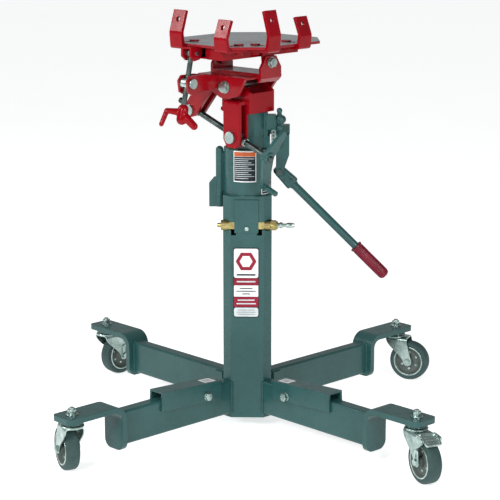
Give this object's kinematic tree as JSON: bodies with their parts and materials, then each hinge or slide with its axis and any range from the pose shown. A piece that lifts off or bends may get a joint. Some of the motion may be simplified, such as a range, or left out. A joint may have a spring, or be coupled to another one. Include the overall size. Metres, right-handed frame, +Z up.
{
  "type": "transmission jack",
  "caption": "Two-stage lift on an X-shaped caster base: a square column, an air-raised hydraulic ram with a hand pump, and a tilting octagonal table with adjustable forks.",
  "frame": {"origin": "on the floor, below the middle of the column", "axes": "+Z up; -Y towards the front of the jack, which is the side with the air valve panel; the head stands turned 42 degrees clockwise, seen from above"},
  "size_m": [0.893, 0.9343, 1],
  "materials": {
    "base_paint": "semi-gloss enamel",
    "head_paint": "gloss enamel",
    "zinc_steel": "zinc plated",
    "oiled_steel": "black oxide, oiled",
    "chromed_steel": "polished",
    "brass": "satin",
    "piston_aluminium": "machined",
    "wheel_rubber": "matt grey",
    "grip_plastic": "matt"
  },
  "bodies": {
    "base": {"column": "base_paint", "valve_panel": "base_paint", "panel_screw": "zinc_steel", "leg_front_left": "base_paint", "leg_front_right": "base_paint", "leg_rear_left": "base_paint", "leg_rear_right": "base_paint", "leg_saddle_channels": "base_paint", "leg_through_bolts": "zinc_steel", "caster_brackets": "base_paint", "caster_stems": "zinc_steel", "sleeve": "base_paint", "side_post": "base_paint", "air_cylinder": "chromed_steel", "air_gland": "brass", "air_valve": "brass", "air_inlet_nut": "brass", "air_nipple": "zinc_steel"},
    "valve_button": {"air_valve_button": "brass"},
    "caster_front_left": {"caster_fork_front_left": "zinc_steel"},
    "wheel_front_left": {"caster_wheel_front_left": "wheel_rubber"},
    "caster_front_right": {"caster_fork_front_right": "zinc_steel"},
    "wheel_front_right": {"caster_wheel_front_right": "wheel_rubber"},
    "brake_front_right": {"brake_lever_front_right": "zinc_steel"},
    "caster_rear_left": {"caster_fork_rear_left": "zinc_steel"},
    "wheel_rear_left": {"caster_wheel_rear_left": "wheel_rubber"},
    "brake_rear_left": {"brake_lever_rear_left": "zinc_steel"},
    "caster_rear_right": {"caster_fork_rear_right": "zinc_steel"},
    "wheel_rear_right": {"caster_wheel_rear_right": "wheel_rubber"},
    "lift_unit": {"air_piston": "piston_aluminium", "hydraulic_cylinder": "chromed_steel", "cylinder_collar": "base_paint", "head_block": "base_paint", "pump_barrel": "base_paint", "pump_bracket": "base_paint", "pump_pivot_pin": "zinc_steel"},
    "pump_piston": {"pump_plunger": "zinc_steel"},
    "pump_lever": {"pump_handle": "base_paint", "handle_grip": "grip_plastic"},
    "release_valve": {"release_knob": "base_paint"},
    "ram": {"lift_ram": "chromed_steel", "ram_piston": "piston_aluminium"},
    "head": {"yoke": "head_paint", "tilt_bolt": "zinc_steel"},
    "side_collar": {"side_tilt_collar": "zinc_steel"},
    "side_screw": {"side_tilt_screw": "oiled_steel", "side_tilt_crank": "base_paint"},
    "side_nut": {"side_tilt_nut": "zinc_steel"},
    "tilt_saddle": {"saddle": "head_paint", "cradle_pins": "zinc_steel"},
    "top_table": {"table": "head_paint", "table_frame": "head_paint"},
    "nod_hanger": {"nod_eye": "zinc_steel"},
    "nod_lead_screw": {"nod_screw": "oiled_steel", "nod_handle": "head_paint"},
    "nod_block": {"nod_nut": "zinc_steel"},
    "fork_slide_1": {"fork_1": "head_paint"},
    "fork_slide_2": {"fork_2": "head_paint"},
    "fork_slide_3": {"fork_3": "head_paint"},
    "fork_slide_4": {"fork_4": "head_paint"}
  },
  "joints": [
    {"name": "air_valve_press", "type": "slide", "parent": "base", "child": "valve_button", "axis": [1, 0, 0], "range_m": [0, 0.004], "stiffness_N_per_m": 400, "springref_m": -0.002},
    {"name": "caster_swivel_front_left", "type": "hinge", "parent": "base", "child": "caster_front_left", "pos_m": [-0.37689, -0.37689, 0.114], "axis": [0, 0, 1], "continuous": true},
    {"name": "wheel_spin_front_left", "type": "hinge", "parent": "caster_front_left", "child": "wheel_front_left", "pos_m": [-0.39379, -0.34064, 0.0508], "axis": [-0.9063, -0.4226, 0], "continuous": true},
    {"name": "caster_swivel_front_right", "type": "hinge", "parent": "base", "child": "caster_front_right", "pos_m": [0.37689, -0.37689, 0.114], "axis": [0, 0, 1], "continuous": true},
    {"name": "wheel_spin_front_right", "type": "hinge", "parent": "caster_front_right", "child": "wheel_front_right", "pos_m": [0.39442, -0.41284, 0.0508], "axis": [0.8988, 0.4384, 0], "continuous": true},
    {"name": "brake_front_right", "type": "hinge", "parent": "caster_front_right", "child": "brake_front_right", "pos_m": [0.40319, -0.43082, 0.104], "axis": [0.8988, 0.4384, 0], "range_deg": [0, 10]},
    {"name": "caster_swivel_rear_left", "type": "hinge", "parent": "base", "child": "caster_rear_left", "pos_m": [-0.37689, 0.37689, 0.114], "axis": [0, 0, 1], "continuous": true},
    {"name": "wheel_spin_rear_left", "type": "hinge", "parent": "caster_rear_left", "child": "wheel_rear_left", "pos_m": [-0.3486, 0.40517, 0.0508], "axis": [-0.7071, 0.7071, 0], "continuous": true},
    {"name": "brake_rear_left", "type": "hinge", "parent": "caster_rear_left", "child": "brake_rear_left", "pos_m": [-0.33446, 0.41931, 0.104], "axis": [-0.7071, 0.7071, 0], "range_deg": [0, 10]},
    {"name": "caster_swivel_rear_right", "type": "hinge", "parent": "base", "child": "caster_rear_right", "pos_m": [0.37689, 0.37689, 0.114], "axis": [0, 0, 1], "continuous": true},
    {"name": "wheel_spin_rear_right", "type": "hinge", "parent": "caster_rear_right", "child": "wheel_rear_right", "pos_m": [0.41397, 0.3619, 0.0508], "axis": [0.3746, 0.9272, 0], "continuous": true},
    {"name": "air_lift", "type": "slide", "parent": "base", "child": "lift_unit", "axis": [0, 0, 1], "range_m": [0, 0.45]},
    {"name": "pump_stroke", "type": "hinge", "parent": "lift_unit", "child": "pump_lever", "pos_m": [0.074, 0.02, 0.612], "axis": [0, 1, 0], "range_deg": [-40, 0]},
    {"name": "pump_piston_slide", "type": "slide", "parent": "lift_unit", "child": "pump_piston", "axis": [0, 0, 1], "range_m": [0, 0.0075]},
    {"name": "release_turn", "type": "hinge", "parent": "lift_unit", "child": "release_valve", "pos_m": [0.074, -0.018, 0.738], "axis": [1, 0, 0], "range_deg": [0, 180]},
    {"name": "hydraulic_lift", "type": "slide", "parent": "lift_unit", "child": "ram", "axis": [0, 0, 1], "range_m": [0, 0.45]},
    {"name": "head_swivel", "type": "hinge", "parent": "ram", "child": "head", "pos_m": [0, 0, 0.76], "axis": [0, 0, 1], "range_deg": [-15, 15]},
    {"name": "side_tilt", "type": "hinge", "parent": "head", "child": "tilt_saddle", "pos_m": [0, 0, 0.818], "axis": [0.6691, 0.7431, 0], "range_deg": [-8, 8]},
    {"name": "side_collar_pivot", "type": "hinge", "parent": "head", "child": "side_collar", "pos_m": [-0.02462, -0.05723, 0.704], "axis": [0.6691, 0.7431, 0], "range_deg": [-6, 6]},
    {"name": "side_crank_spin", "type": "hinge", "parent": "side_collar", "child": "side_screw", "pos_m": [-0.02462, -0.05723, 0.704], "axis": [0.6963, -0.6269, -0.3496], "range_deg": [-1013, 1013]},
    {"name": "side_nut_pivot", "type": "hinge", "parent": "tilt_saddle", "child": "side_nut", "pos_m": [-0.1242, 0.03243, 0.754], "axis": [0.6691, 0.7431, 0], "range_deg": [-6, 6]},
    {"name": "nod", "type": "hinge", "parent": "tilt_saddle", "child": "top_table", "pos_m": [0, 0, 0.874], "axis": [0.7431, -0.6691, 0], "range_deg": [-8, 8]},
    {"name": "nod_hanger_pivot", "type": "hinge", "parent": "top_table", "child": "nod_hanger", "pos_m": [-0.12415, -0.09006, 0.899], "axis": [0.7431, -0.6691, 0], "range_deg": [-9, 9]},
    {"name": "nod_screw_spin", "type": "hinge", "parent": "nod_hanger", "child": "nod_lead_screw", "pos_m": [-0.12415, -0.09006, 0.899], "axis": [-0.1462, -0.1624, -0.9758], "range_deg": [-1536, 1536]},
    {"name": "nod_block_pivot", "type": "hinge", "parent": "tilt_saddle", "child": "nod_block", "pos_m": [-0.13419, -0.10121, 0.832], "axis": [0.7431, -0.6691, 0], "range_deg": [-2, 2]},
    {"name": "fork_1_slide", "type": "slide", "parent": "top_table", "child": "fork_slide_1", "axis": [-0.6691, -0.7431, 0], "range_m": [0, 0.025]},
    {"name": "fork_2_slide", "type": "slide", "parent": "top_table", "child": "fork_slide_2", "axis": [-0.6691, -0.7431, 0], "range_m": [0, 0.025]},
    {"name": "fork_3_slide", "type": "slide", "parent": "top_table", "child": "fork_slide_3", "axis": [0.7431, -0.6691, 0], "range_m": [0, 0.025]},
    {"name": "fork_4_slide", "type": "slide", "parent": "top_table", "child": "fork_slide_4", "axis": [0.7431, -0.6691, 0], "range_m": [0, 0.025]}
  ],
  "couplings": [
    {"joint": "pump_piston_slide", "follows": "pump_stroke", "m_per_rad": -0.01},
    {"joint": "side_collar_pivot", "follows": "side_tilt", "ratio": 0.59034},
    {"joint": "side_nut_pivot", "follows": "side_tilt", "ratio": -0.40966},
    {"joint": "side_crank_spin", "follows": "side_tilt", "ratio": 125.43},
    {"joint": "nod_hanger_pivot", "follows": "nod", "ratio": -1.122},
    {"joint": "nod_screw_spin", "follows": "nod", "ratio": 190.81},
    {"joint": "nod_block_pivot", "follows": "nod", "ratio": -0.12198}
  ]
}
